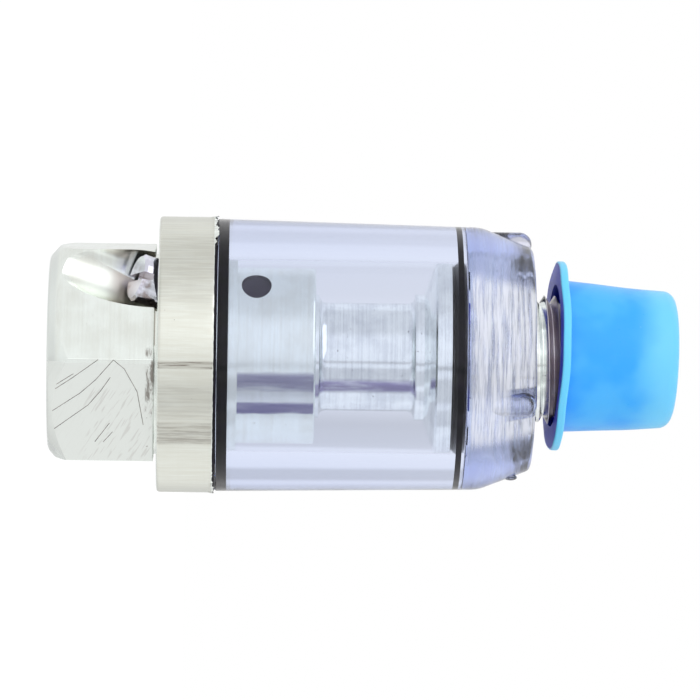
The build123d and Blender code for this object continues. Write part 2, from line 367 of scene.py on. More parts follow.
def headMetal():
    # Bright turned metal: fine lines round the bore, milling strokes on the lower flat, painted shade by
    # the groove
    f = headFinish
    g = newMaterial("turnedHead", {"Metallic": 1})
    height = g.height()
    angle = g.angle()
    lines = g.noise(3.2, stretch=(0.02, 0.02, 1))
    coarse = g.noise(0.9, stretch=(0.05, 0.05, 1), detail=2)
    cloud = g.noise(0.2)
    tone = g.step(lines * 0.2 + coarse * 0.2 + cloud * 0.6, 0.36, 0.62)
    base = g.blend(tone, f["dull"], f["light"])
    # The lower flat is milled, and elsewhere the edge by the inlet is a little greyer
    onFlat = g.within(angle, *f["flatPlaces"], 0.6) * g.within(height, *f["flatHeights"], 0.2)
    base = g.blend(onFlat * 0.9, base, f["flat"])
    marks = g.step(g.strokes(32, 0.3, 2.8), 0.55, 0.68)
    shaded = g.within(height, *f["shadeHeights"], 2) * g.within(angle, *f["shadePlaces"], 6)
    base = g.blend(onFlat * marks * (shaded * 0.38 + 0.06), base, f["shade"])
    base = g.blend(g.step(height, 0.9, 1.5, 0.8, 0) * (1 - onFlat), base, f["edge"])
    # Painted shade in the crease beside the groove, where the hexagon meets the flange
    grooveShadeNoise = g.step(g.noise(0.55, stretch=(0.45, 0.45, 2.2), detail=4, roughness=0.7), 0.45, 0.6)
    grooveShade = g.within(height, *f["grooveHeights"], 0.3) * g.within(angle, *f["groovePlaces"], 4)
    base = g.blend(grooveShade * grooveShadeNoise * 0.8, base, f["dirtAndShade"])
    # The flange is duller, with painted reflections in streaks along the bore
    onRing = g.within(height, *f["ringHeights"], 0.1)
    grain = g.noise(2.2, stretch=(1, 1, 0.06), detail=4, roughness=0.7)
    base = g.blend(onRing * g.step(grain, 0.3, 0.7, 0.65, 1), base, f["ring"])
    streakBreakup = g.step(g.noise(1.6, stretch=(1.8, 1.8, 0.08), detail=4, roughness=0.7), 0.4, 0.62, 0.25, 1)
    base = g.blend(onRing * g.bands(angle, f["ringReflections"]) * streakBreakup, base, f["dirtAndShade"])
    # The scoop is dull, with painted shade in a warm tone at its deep end
    inScoop = g.within(angle, *f["scoopPlaces"], 0.5) * g.within(height, *f["scoopHeights"], 0.2)
    inScoop = inScoop * g.step(g.depthBelow(f["scoopAngle"], f["flatDistance"]), 0.15, 0.4)
    base = g.blend(inScoop * (0.12 + 0.5 * g.step(height, 7.2, 9.6)), base, f["scoopShade"])
    # Painted reflections in streaks on the socket inside the bowl
    streakNoise = g.noise(1.5, stretch=(1, 1, 0.1), detail=4)
    darkReflection = g.bands(angle + (streakNoise - 0.5) * f["reflectionWander"], f["socketReflections"])
    darkReflection = darkReflection * g.step(streakNoise, 0.3, 0.6, 0.8, 1)
    base = g.blend(darkReflection * g.within(height, *f["socketHeights"], 0.2), base, f["reflectionTint"])
    specks = g.step(g.noise(1.7, detail=2), 0.75, 0.78)
    base = g.blend(specks * 0.6, base, f["dirtAndShade"])
    rough = f["roughness"] + 0.1 * (cloud - 0.5 + onFlat + onRing + grooveShadeNoise * grooveShade) + 0.12 * inScoop
    relief = (lines + coarse * 0.6) * (1 - onFlat) + onRing * grain
    g.paint({"Base Color": base, "Roughness": rough, "Normal": g.bump(relief, f["lineDepth"])})
    return g.material


scratchDirtAndShadeFinish = {"pale": (168, 160, 154), "dark": (92, 82, 80), "roughness": 0.5}


def scratchDirtAndShadeMetal():
    # Dirt and painted shade in the bottom of the scratches
    f = scratchDirtAndShadeFinish
    g = newMaterial("scratchDirtAndShade", {"Metallic": 0.6})
    dirt = g.step(g.noise(1.2), 0.35, 0.65)
    base = g.blend(dirt, f["pale"], f["dark"])
    g.paint({"Base Color": base, "Roughness": f["roughness"] + 0.2 * dirt})
    return g.material


stemFinish = {
    "light": (250, 254, 252), "dull": (224, 228, 230), "reflectionTint": (150, 144, 176), "pit": (110, 104, 124),
    "thread": (176, 160, 172), "roughness": 0.13, "lineDepth": 0.006, "reflectionHeights": (35, 48),
    "reflectionPlaces": (-34, -27), "threadStart": 65.4,
}


def stemMetal():
    f = stemFinish
    g = newMaterial("turnedStem", {"Metallic": 1})
    height = g.height()
    lines = g.noise(3, stretch=(0.02, 0.02, 1))
    cloud = g.noise(0.3, detail=4)
    pits = g.step(g.noise(1.6, detail=2), 0.72, 0.76)
    tone = g.step(lines * 0.4 + cloud * 0.6, 0.35, 0.62)
    base = g.blend(tone, f["dull"], f["light"])
    base = g.blend(pits * 0.6, base, f["pit"])
    # Painted reflections in long streaks on the stem
    darkReflection = g.within(g.angle(), *f["reflectionPlaces"], 6) * g.within(height, *f["reflectionHeights"], 0.5)
    streaks = g.step(g.noise(1.4, stretch=(1, 1, 0.15), detail=4), 0.3, 0.6, 0.6, 1)
    base = g.blend(darkReflection * streaks, base, f["reflectionTint"])
    onThread = g.step(height, f["threadStart"], f["threadStart"] + 0.3)
    base = g.blend(onThread * g.step(cloud, 0.3, 0.6, 0.4, 0.7), base, f["thread"])
    rough = f["roughness"] + 0.12 * (cloud - 0.5) + 0.16 * onThread
    g.paint({"Base Color": base, "Roughness": rough, "Normal": g.bump(lines, f["lineDepth"])})
    return g.material


bowlFinish = {
    "index": 1.585, "density": 92, "tint": (0.71, 0.78, 0.955), "roughness": 0.012, "mirror": 0.35,
    "endTint": (0.84, 0.83, 0.95), "endStart": 55.0, "skinRadii": (13.2, 13.8), "hazeAndHighlight": (246, 248, 252),
    "hazeShare": 0.62, "highlightPlaces": (-36, 33), "lugPlaces": (-29.5, -15), "lugHeights": (59.5, 61),
    "waveDepth": 0.03, "brushDepth": 0.02,
}


def clearPlastic():
    # Clear and smooth along the wall, with turning marks and a deeper tint on the thick end
    f = bowlFinish
    mirror = (f["mirror"],) * 3 + (1,)
    g = newMaterial("clearPlastic", {"Transmission Weight": 1, "IOR": f["index"], "Specular Tint": mirror})
    height = g.height()
    angle = g.angle()
    onEnd = g.step(height, f["endStart"], f["endStart"] + 0.6)
    endSkin = onEnd * g.step(g.radius(), *f["skinRadii"])
    brush = g.noise(2.6, stretch=(0.05, 0.05, 1), detail=4, roughness=0.65)
    streaky = g.step(brush, 0.35, 0.65)
    scuffs = g.step(g.noise(1.1, stretch=(0.5, 0.5, 0.06), detail=4, roughness=0.7), 0.66, 0.8)
    waves = g.bump(g.noise(0.1, detail=0), f["waveDepth"])
    g.paint({
        "Base Color": g.blend(onEnd * (0.6 + 0.4 * streaky), (1, 1, 1, 1), (*f["endTint"], 1)),
        "Roughness": f["roughness"] + 0.08 * scuffs + endSkin * (0.06 + 0.1 * streaky),
        "Normal": g.bump(endSkin * brush, f["brushDepth"], waves),
    })
    # The turned end is a little hazy where the tool marks catch the light, with a painted highlight that
    # makes it much hazier on the side facing -Y
    hazeAndHighlight = g.add("BsdfPrincipled", None, {"Base Color": colour(*f["hazeAndHighlight"]), "Roughness": 0.6})
    onLug = g.within(angle, *f["lugPlaces"], 1.5) * g.step(height, *f["lugHeights"])
    highlightSide = g.within(angle, *f["highlightPlaces"], 9) * (1 - onLug)
    share = endSkin * g.step(brush, 0.36, 0.6, 0.3, 1) * (0.1 + highlightSide * 0.9) * f["hazeShare"]
    mixed = g.add("MixShader", None, {0: share, 1: Wire(g, g.shader.outputs[0]), 2: hazeAndHighlight})
    absorb = g.add("VolumeAbsorption", None, {"Color": (*f["tint"], 1), "Density": f["density"]})
    output = g.tree.nodes["Material Output"]
    g.set(output.inputs["Surface"], mixed)
    g.set(output.inputs["Volume"], absorb)
    return g.material


rubberFinish = {"dark": (13, 11, 18), "bloom": (28, 23, 38), "roughness": 0.42, "grainDepth": 0.01}


def rubber():
    f = rubberFinish
    g = newMaterial("blackRubber", {"Specular IOR Level": 0.18})
    bloom = g.noise(0.5)
    g.paint({
        "Base Color": g.blend(g.step(bloom, 0.4, 0.7), f["dark"], f["bloom"]),
        "Roughness": f["roughness"] + 0.2 * bloom,
        "Normal": g.bump(g.noise(3, detail=2), f["grainDepth"]),
    })
    return g.material


brassFinish = {"dark": (190, 150, 84), "light": (226, 192, 120), "roughness": 0.26, "lineDepth": 0.008}


def brass():
    f = brassFinish
    g = newMaterial("turnedBrass", {"Metallic": 1})
    rings = g.noise(8, stretch=(0.02, 0.02, 1))
    base = g.blend(rings, f["dark"], f["light"])
    rough = f["roughness"] + 0.16 * rings
    g.paint({"Base Color": base, "Roughness": rough, "Normal": g.bump(rings, f["lineDepth"])})
    return g.material


steelFinish = {"bright": (226, 226, 240), "dull": (172, 158, 160), "roughness": 0.12, "markDepth": 0.006}


def steel():
    f = steelFinish
    g = newMaterial("brightSteel", {"Metallic": 1})
    dull = g.step(g.noise(0.5), 0.5, 0.72)
    base = g.blend(dull, f["bright"], f["dull"])
    rough = f["roughness"] + 0.16 * dull
    g.paint({"Base Color": base, "Roughness": rough, "Normal": g.bump(g.noise(2.2), f["markDepth"])})
    return g.material


feltFinish = {"dark": (58, 52, 66), "light": (104, 98, 112), "fibreDepth": 0.15}


def felt():
    f = feltFinish
    g = newMaterial("oiledFelt", {"Roughness": 0.95})
    fibres = g.noise(6, detail=5, roughness=0.7)
    base = g.blend(fibres, f["dark"], f["light"])
    g.paint({"Base Color": base, "Normal": g.bump(fibres, f["fibreDepth"])})
    return g.material


capFinish = {
    "body": (80, 184, 255), "deep": (60, 170, 254), "pale": (116, 208, 255), "edge": (112, 212, 255),
    "pit": (150, 214, 255), "inside": (12, 44, 214), "shadedInsideLight": (30, 70, 236), "roughness": 0.3,
    "paleHeights": (77.2, 82.2), "edgeRadii": (11.4, 12.3), "pitDepth": 0.015, "insideDepth": 0.01,
}


def capPlastic():
    # Thin translucent plastic, paler at the rim's edge and the closed end
    f = capFinish
    g = newMaterial("blueCap", {
        "Subsurface Weight": 0.12, "Subsurface Scale": 0.4 * mm, "Specular IOR Level": 0.2,
    })
    cloud = g.noise(0.16, detail=2)
    pits = g.noise(1.5, detail=4)
    base = g.blend(g.step(cloud, 0.35, 0.65), f["deep"], f["body"])
    base = g.blend(g.step(g.height() + cloud * 2, *f["paleHeights"]), base, f["pale"])
    base = g.blend(g.step(g.radius(), *f["edgeRadii"]), base, f["edge"])
    base = g.blend(g.step(pits, 0.74, 0.79), base, f["pit"])
    rough = f["roughness"] + 0.12 * (pits - 0.5)
    g.paint({"Base Color": base, "Roughness": rough, "Normal": g.bump(pits, f["pitDepth"])})
    return g.material


# Painted shade: the same blue plastic, much darker, for the cap's inside and the underside of its rim
def capShadedInside():
    f = capFinish
    g = newMaterial("blueCapShadedInside", {"Roughness": 0.4})
    cloud = g.noise(0.3)
    base = g.blend(cloud, f["inside"], f["shadedInsideLight"])
    g.paint({"Base Color": base, "Normal": g.bump(cloud, f["insideDepth"])})
    return g.material


headLook = headMetal()
scratchDirtAndShadeLook = scratchDirtAndShadeMetal()
stemLook = stemMetal()
bowlLook = clearPlastic()
rubberLook = rubber()
brassLook = brass()
steelLook = steel()
feltLook = felt()
capLook = capPlastic()
capShadedInsideLook = capShadedInside()
print("finishes mixed")


# Head: hexagon, flange and socket, with the bores, the screw's slanted seat, scratches and a torn edge

headDetail = {
    "acrossFlats": 27.8, "cornerAngle": -4, "sideways": -0.32, "edge": 0.1, "hexLength": 14.4,
    "faceRadius": 12.7, "faceRound": 0.48, "chamferHeight": 3.2, "grooveRadius": 13.23, "grooveWidth": 0.4,
    "flangeRadius": 18.25, "flangeTop": 21.7, "flangeRound": 0.5, "lipWidth": 0.12, "lipRows": (0.5, 0.2),
    "spigotRadius": 12.68, "spigotTop": 24.7, "socketRadius": 11.65, "socketTop": 35.0, "socketRound": 0.35,
    "portMouth": 8.6, "portRadius": 7.55, "portLength": 12.4, "chamfer": 1.05, "seatRadius": 7.0,
    "jointBottom": 31.0, "jointCore": 6.5, "jointRadius": 7.02, "pocketRadius": 8.04, "pocketDepth": 1.0,
    "oilAngle": 45, "oilHeight": 27.2, "oilRadius": 1.95, "oilDepth": 2.5, "bleedHeight": 25.6,
    "bleedRadius": 0.6, "bleedStart": 6, "bleedLength": 8, "chamferSide": 16, "faceSize": 8,
    "port": {
        "pitch": 1.411, "rootRadius": 8.5, "crestRadius": 7.55, "rootFlat": 0.12, "start": -1.2,
        "turns": 9, "steps": 72, "taper": 0.0625, "taperStart": 0,
    },
    "scratchWidth": 0.075,
    # Each scratch on the lower front flat: heights and distances below the upper corner
    "scratches": [
        ((-0.4, 1.9), (1.95, 0.05)),
        ((-0.4, 6.0), (3.4, 3.0), (6.8, 0.05)),
        ((-0.3, 9.1), (4.5, 5.3), (6.5, 3.2), (8.8, 0.05)),
        ((0.2, 11.8), (5.5, 7.2), (7.1, 5.0), (8.4, 2.8)),
        ((-0.3, 5.3), (3.6, 2.3)),
        ((6.4, 13.0), (8.3, 10.0)),
        ((7.5, 13.0), (8.7, 11.4)),
        ((8.8, 0.05), (10.2, 1.4), (11.9, 5.0), (12.7, 10.2)),
    ],
    # Torn stretches of the flange's far edge: first and last place round it, and the tallest shred
    "torn": [(52, 104, 0.6), (-100, -56, 0.4)],
}
screwDetail = {
    "angle": 42.5, "slant": 24.3, "axisRadius": 13.5425, "scoopRadius": 4.1, "scoopDepth": 1.0,
    "sealRadius": 2.95, "sealEnd": 4.2, "threadRadius": 2.05, "threadEnd": 8.0, "needleRadius": 1.0,
    "needleEnd": 12.4, "jetRadius": 0.55, "jetEnd": 17.1, "reach": 24, "headRadius": 3.2, "headHeight": 4.1,
    "headEdge": 0.35, "gap": 0.05, "ringStart": 2.75, "ringEnd": 3.79, "ringRadius": 1.9, "pinRadius": 0.9,
    "pointStart": 11.74, "pointEnd": 12.86, "pointRadius": 0.2, "slotWidth": 1.0, "slotDepth": 1.3,
    "slotLength": 8, "slotTurn": 35,
    "thread": {
        "pitch": 0.5, "rootRadius": 1.72, "crestRadius": 2.0, "rootFlat": 0.06, "start": 3.5,
        "turns": 10, "steps": 40, "taper": 0, "taperStart": 0,
    },
}


def screwFrame():
    # +Z runs down the metering screw's hole; zero is where its axis meets the flange's lower face
    s = screwDetail
    place = Matrix.Translation(Vector((s["axisRadius"], 0, headDetail["hexLength"])) * mm)
    return aroundAxis(s["angle"]) @ place @ Matrix.Rotation(radians(-s["slant"]), 4, "Y")


def flatFrame():
    # The lower front flat: its upper corner, and the directions along it and out of it
    d = headDetail
    middle = radians(d["cornerAngle"] - 30)
    outwards = Vector((-sin(middle), -cos(middle), 0))
    along = Vector((cos(middle), -sin(middle), 0))
    corner = outwards * d["acrossFlats"] / 2 - along * d["acrossFlats"] / 2 * tan(radians(30))
    return (corner + Vector((d["sideways"], 0, 0))) * mm, along, outwards


def scratchTool(start, end):
    # A thin wedge from one point of the flat to the other
    corner, along, outwards = flatFrame()
    here = corner + along * start[1] * mm + Vector((0, 0, start[0] * mm))
    there = corner + along * end[1] * mm + Vector((0, 0, end[0] * mm))
    run = there - here
    across = outwards.cross(run.normalized())
    pickNone()
    bpy.ops.mesh.primitive_cylinder_add(
        vertices=3, radius=headDetail["scratchWidth"] * mm, depth=run.length * 1.01
    )
    tool = bpy.context.object
    tool.name = "scratch_tool"
    tool.data.materials.append(scratchDirtAndShadeLook)
    turn = Matrix((across, outwards, run.normalized())).transposed().to_4x4()
    return moveTo(tool, Matrix.Translation((here + there) / 2) @ turn)


def millHexagon():
    # A bar a little off the bore, chamfered by a tool that turns about the bore, then scratched
    d = headDetail
    corner = d["acrossFlats"] / 2 / cos(radians(30))
    length = d["hexLength"] - d["grooveWidth"] + 1
    pickNone()
    bpy.ops.mesh.primitive_cylinder_add(
        vertices=6, radius=corner * mm, depth=length * mm, rotation=(0, 0, radians(-d["cornerAngle"])),
        location=(d["sideways"] * mm, 0, (length / 2 - 1) * mm),
    )
    bar = bpy.context.object
    bar.name = "threaded_head"
    bpy.ops.object.transform_apply()
    clearMesh()
    for edge in bar.data.edges:
        one, other = [bar.data.vertices[i].co for i in edge.vertices]
        edge.select = abs(one.z - other.z) > 1 * mm
    bpy.ops.object.mode_set(mode="EDIT")
    bpy.ops.mesh.bevel(offset=d["edge"] * mm, segments=2)
    bpy.ops.object.mode_set(mode="OBJECT")
    reach = corner + abs(d["sideways"]) + 0.02
    chamfer = drawOutline("chamfer_tool", [
        (0, 0),
        (d["faceRadius"], 0),
        (reach, d["chamferHeight"]),
        (reach, d["chamferSide"]),
        (0, d["chamferSide"]),
    ])
    roundCorners(chamfer, [(d["faceRadius"], 0, d["faceRound"])], 6)
    turnAboutAxis(chamfer, steps=192)
    bar.data.materials.append(headLook)
    combine(bar, chamfer, "INTERSECT")
    for points in d["scratches"]:
        for start, end in zip(points, points[1:]):
            combine(bar, scratchTool(start, end))
    return bar


def turnFlange():
    # Flange, spigot and socket in one turned solid, with metal torn up along the flange's far edge
    d = headDetail
    start = d["hexLength"] - d["grooveWidth"] - 0.1
    edge = d["flangeRadius"]
    top = d["flangeTop"]
    lowRow, highRow = [top - row for row in d["lipRows"]]
    flange = drawOutline("flange", [
        (0, start),
        (d["grooveRadius"], start),
        (d["grooveRadius"], d["hexLength"]),
        (edge, d["hexLength"]),
        (edge, lowRow),
        (edge, highRow),
        (edge, top),
        (edge - d["lipWidth"], top),
        (d["spigotRadius"], top),
        (d["spigotRadius"], d["spigotTop"]),
        (d["socketRadius"], d["spigotTop"]),
        (d["socketRadius"], d["socketTop"]),
        (0, d["socketTop"]),
    ])
    roundCorners(flange, [
        (edge, d["hexLength"], d["flangeRound"]), (d["socketRadius"], d["socketTop"], d["socketRound"]),
    ], 7)
    turnAboutAxis(flange, steps=288)
    dice = random.Random(11)
    shred = 0
    for v in sorted(flange.data.vertices, key=lambda v: atan2(v.co.x, v.co.y)):
        radius = Vector(v.co[:2]).length / mm
        if radius < edge - 0.02 or v.co.z < (highRow - 0.1) * mm:
            continue  # only the lip and the row below it are torn
        place = degrees(atan2(-v.co.x, -v.co.y))
        onLip = v.co.z > (top - 0.05) * mm
        lift = dice.uniform(0, 0.05) if onLip else 0
        out = dice.uniform(-0.05, 0.01)
        for first, last, tallest in d["torn"]:
            if first < place < last:
                if onLip:
                    shred = 0.55 * shred + 0.6 * dice.uniform(-0.3, 1) * tallest
                    lift = min(max(shred, 0), tallest)
                    out = dice.uniform(-0.02, 0.16)
                else:
                    out = dice.uniform(-0.1, 0.08)
        v.co.z += lift * mm
        v.co.x *= 1 + out / radius
        v.co.y *= 1 + out / radius
    return flange


def boreTools():
    # The bore, the screw's slanted seat, the oil hole, the bleed hole and the port's thread
    d = headDetail
    s = screwDetail
    pocketBottom = d["socketTop"] - d["pocketDepth"]
    bore = drawOutline("bore_tool", [
        (0, -1),
        (d["portMouth"] + 1, -1),
        (d["portRadius"], d["chamfer"]),
        (d["portRadius"], d["portLength"]),
        (d["seatRadius"], d["portLength"] + d["chamfer"]),
        (d["seatRadius"], d["jointBottom"]),
        (d["jointCore"], d["jointBottom"]),
        (d["jointCore"], d["jointBottom"] + 0.02),
        (d["jointRadius"], d["jointBottom"] + 0.02),
        (d["jointRadius"], pocketBottom),
        (d["pocketRadius"], pocketBottom),
        (d["pocketRadius"], d["socketTop"] + 1),
        (0, d["socketTop"] + 1),
    ])
    turnAboutAxis(bore, steps=144)
    seat = drawOutline("seat_tool", [
        (0, -s["reach"]),
        (s["scoopRadius"], -s["reach"]),
        (s["scoopRadius"], s["scoopDepth"]),
        (s["sealRadius"], s["scoopDepth"]),
        (s["sealRadius"], s["sealEnd"]),
        (s["threadRadius"], s["sealEnd"]),
        (s["threadRadius"], s["threadEnd"]),
        (s["needleRadius"], s["threadEnd"]),
        (s["needleRadius"], s["needleEnd"]),
        (s["jetRadius"], s["needleEnd"]),
        (s["jetRadius"], s["jetEnd"]),
        (0, s["jetEnd"]),
    ])
    moveTo(turnAboutAxis(seat, steps=96), screwFrame())
    sideways = Matrix.Rotation(radians(90), 4, "Y")
    oil = addRod(d["oilRadius"], d["oilDepth"] + 1, 80)
    inner = d["socketRadius"] - d["oilDepth"]
    oilPlace = Matrix.Translation(Vector((inner, 0, d["oilHeight"])) * mm)
    moveTo(oil, aroundAxis(d["oilAngle"]) @ oilPlace @ sideways)
    bleed = addRod(d["bleedRadius"], d["bleedLength"], 32)
    bleedPlace = Matrix.Translation(Vector((d["bleedStart"], 0, d["bleedHeight"])) * mm)
    moveTo(bleed, aroundAxis(d["oilAngle"] + 180) @ bleedPlace @ sideways)
    return [bore, seat, oil, bleed, threadTool(d["port"], inside=True)]


def finishHead():
    d = headDetail
    head = millHexagon()
    combine(head, turnFlange(), "UNION")
    for tool in boreTools():
        combine(head, tool)
    smoothShade(head, 15, flatSize=d["faceSize"])
    dressPiece(head, headLook, "head", "inlet_head")
    print("head finished,", len(head.data.polygons), "faces")


def turnScrew():
    # The metering screw: slotted head, sealed shank, thread and needle, in its slanted seat
    s = screwDetail
    under = s["scoopDepth"] - s["gap"]
    top = under - s["headHeight"]
    shank = s["sealRadius"] - s["gap"]
    crest = s["thread"]["crestRadius"]
    threadEnd = s["threadEnd"] - s["gap"]
    screw = drawOutline("slotted_screw", [
        (0, top),
        (s["headRadius"] - s["headEdge"], top),
        (s["headRadius"], top + s["headEdge"]),
        (s["headRadius"], under),
        (shank, under),
        (shank, s["ringStart"]),
        (s["ringRadius"], s["ringStart"]),
        (s["ringRadius"], s["ringEnd"]),
        (crest, s["ringEnd"]),
        (crest, threadEnd),
        (s["pinRadius"], threadEnd),
        (s["pinRadius"], s["pointStart"]),
        (s["pointRadius"], s["pointEnd"]),
        (0, s["pointEnd"]),
    ])
    turnAboutAxis(screw, steps=96)
    combine(screw, threadTool(s["thread"]))
    pickNone()
    turn = (0, 0, radians(s["slotTurn"]))
    bpy.ops.mesh.primitive_cube_add(size=1, location=(0, 0, top * mm), rotation=turn)
    slot = bpy.context.object
    slot.scale = Vector((s["slotLength"], s["slotWidth"], 2 * s["slotDepth"])) * mm
    bpy.ops.object.transform_apply()
    combine(screw, slot)
    moveTo(screw, screwFrame())
    screw.data.materials.clear()
    smoothShade(screw)
    dressPiece(screw, steelLook, "screw", "metering_screw")
    print("screw turned,", len(screw.data.polygons), "faces")


finishHead()
turnScrew()


# Bowl: turned outline, thread in its thick end, three lugs and the moulding gate's mark

bowlDetail = {
    "rimRadius": 18.05, "shoulderRadius": 17.4, "endRadius": 14.7, "boreRadius": 12.75,
    "recessRadius": 14.52, "recessDepth": 1.44, "coneHeight": 6.9, "endWall": 8.9, "minorRadius": 8.7,
    "threadLead": 0.6, "contact": (53.62, 54.38),
    "thread": {
        "pitch": 1.411, "rootRadius": 9.05, "crestRadius": 8.7, "rootFlat": 0.2, "start": 52.6,
        "turns": 9, "steps": 96, "taper": 0, "taperStart": 0,
    },
    "lugRadius": 1.6, "lugReach": 17.0, "lugLength": 7.4, "lugAngles": (-22.4, 97.6, 217.6),
    "gateAngle": -84, "gateHeight": 61.3, "gateReach": 15.75, "gateSize": (0.4, 1.2, 0.85),
}


def lugTool(angle):
    # A sphere whose lower half is pulled down, so that it is a peg with a round end
    d = bowlDetail
    away = (d["lugReach"] - d["lugRadius"]) * mm
    middle = bowlHigh.z - d["lugRadius"] * mm
    bottom = bowlHigh.z - (d["lugLength"] + d["lugRadius"]) * mm
    place = (-sin(radians(angle)) * away, -cos(radians(angle)) * away, middle)
    pickNone()
    bpy.ops.mesh.primitive_uv_sphere_add(
        segments=40, ring_count=20, radius=d["lugRadius"] * mm, location=place
    )
    lug = bpy.context.object
    bpy.ops.object.transform_apply()
    clearMesh()
    for v in lug.data.vertices:
        v.select = v.co.z < middle - 0.01 * mm
    bpy.ops.object.mode_set(mode="EDIT")
    bpy.ops.transform.translate(value=(0, 0, bottom - middle))
    bpy.ops.object.mode_set(mode="OBJECT")
    return lug


def gateMark():
    # A low scar where the plastic was cut from its runner
    d = bowlDetail
    pickNone()
    bpy.ops.mesh.primitive_uv_sphere_add(segments=32, ring_count=16, radius=mm)
    scar = bpy.context.object
    size = Matrix.Diagonal((*d["gateSize"], 1))
    place = Matrix.Translation(Vector((d["gateReach"], 0, d["gateHeight"])) * mm)
    return moveTo(scar, aroundAxis(d["gateAngle"]) @ place @ size)


def mouldBowl():
    d = bowlDetail
    low = bowlLow.z / mm
    high = bowlHigh.z / mm
    shoulder = high - d["endWall"]
    coneStart = high - d["coneHeight"]
    recessTop = low + d["recessDepth"]
    contactLow, contactHigh = d["contact"]
    bowl = drawOutline("clear_bowl", [
        (d["recessRadius"], low),
        (d["rimRadius"], low),
        (d["shoulderRadius"], coneStart),
        (d["endRadius"], high),
        (d["minorRadius"] + d["threadLead"], high),
        (d["minorRadius"], high - d["threadLead"]),
        (d["minorRadius"], shoulder + d["threadLead"]),
        (d["minorRadius"] + d["threadLead"], shoulder),
        (d["boreRadius"], shoulder),
        (d["boreRadius"], contactHigh),
        (d["boreRadius"], contactLow),
        (d["boreRadius"], recessTop),
        (d["recessRadius"], recessTop),
    ])
    roundCorners(bowl, [
        (d["rimRadius"], low, 0.3), (d["shoulderRadius"], coneStart, 0.9), (d["endRadius"], high, 0.55),
        (d["boreRadius"], shoulder, 0.25),
    ])
    turnAboutAxis(bowl, steps=180)
    combine(bowl, threadTool(d["thread"], inside=True))
    for angle in d["lugAngles"]:
        combine(bowl, lugTool(angle), "UNION")
    combine(bowl, gateMark(), "UNION")
    bowl.data.materials.clear()
    smoothShade(bowl)
    dressPiece(bowl, bowlLook, "bowl", "bowl")
    # Where the seals press on the plastic it shows black from outside
    bowl.data.materials.append(rubberLook)
    for face in bowl.data.polygons:
        height = face.center.z / mm
        radius = Vector(face.center[:2]).length / mm
        byEnd = contactLow < height < contactHigh and radius < d["boreRadius"] + 0.05
        inRecess = height < recessTop + 0.05 and d["boreRadius"] < radius < d["recessRadius"] + 0.05
        underRim = height < low + 0.02 and radius < d["rimRadius"] - 0.2
        if byEnd or inRecess or underRim:
            face.material_index = 1
    print("bowl moulded,", len(bowl.data.polygons), "faces")


mouldBowl()


# Rim seal: a ring in the bowl's recess, with the lip that the bowl's rim squeezes out over the flange

sealDetail = {
    "ringRadius": 13.6, "cord": 0.9, "bottom": 21.72, "lipTop": 22.08, "lipRadius": 18.02, "lipEdge": 0.1,
    "firstAngle": 20, "sweep": 250, "sides": 16,
}


def mouldRimSeal():
    d = sealDetail
    middle = d["bottom"] + d["cord"]
    outline = []
    for i in range(d["sides"] + 1):  # over the ring's top, round its inside and down to the flange
        turn = radians(d["firstAngle"] + d["sweep"] * i / d["sides"])
        outline.append((d["ringRadius"] + d["cord"] * cos(turn), middle + d["cord"] * sin(turn)))
    outline += [
        (d["lipRadius"] - d["lipEdge"], d["bottom"]),
        (d["lipRadius"], d["bottom"] + d["lipEdge"]),
        (d["lipRadius"], d["lipTop"] - d["lipEdge"]),
        (d["lipRadius"] - d["lipEdge"], d["lipTop"]),
        (d["ringRadius"] + d["cord"], d["lipTop"]),
    ]
    seal = turnAboutAxis(drawOutline("rim_seal", outline), steps=192)
    smoothShade(seal, 40)
    dressPiece(seal, rubberLook, "head", "bowl_rim_o_ring")
    print("rim seal moulded,", len(seal.data.polygons), "faces")


mouldRimSeal()


# Stem: turned outline with the bowl's thread and the taper thread of the outlet

stemDetail = {
    "boreRadius": 4.8, "jointRadius": 7.0, "collarRadius": 8.2, "collarWidth": 0.5, "stemRadius": 7.15,
    "footRadius": 8.4, "footWidth": 1.2, "coneHeight": 1.35, "bandRadius": 12.6, "bandWidth": 2.4,
    "bandEdge": 0.25, "hubRadius": 10.91, "hubWidth": 1.8, "neckRadius": 8.3, "neckLength": 1.1,
    "threadLength": 12.4, "edge": 0.6, "jointLength": 3.92, "jointGap": 0.02, "span": 15.7,
    "stemRound": 1.0, "collarRound": 0.12, "mouthRound": 0.3,
    "bowlThread": {
        "pitch": 1.411, "rootRadius": 8.64, "crestRadius": 8.95, "rootFlat": 0.2, "start": 53.3,
        "turns": 8, "steps": 96, "taper": 0, "taperStart": 0,
    },
    "outletThread": {
        "pitch": 1.411, "rootRadius": 7.5, "crestRadius": 8.55, "rootFlat": 0.1, "start": 62.65,
        "turns": 11, "steps": 96, "taper": 0.0625, "taperStart": 64.94,
    },
}


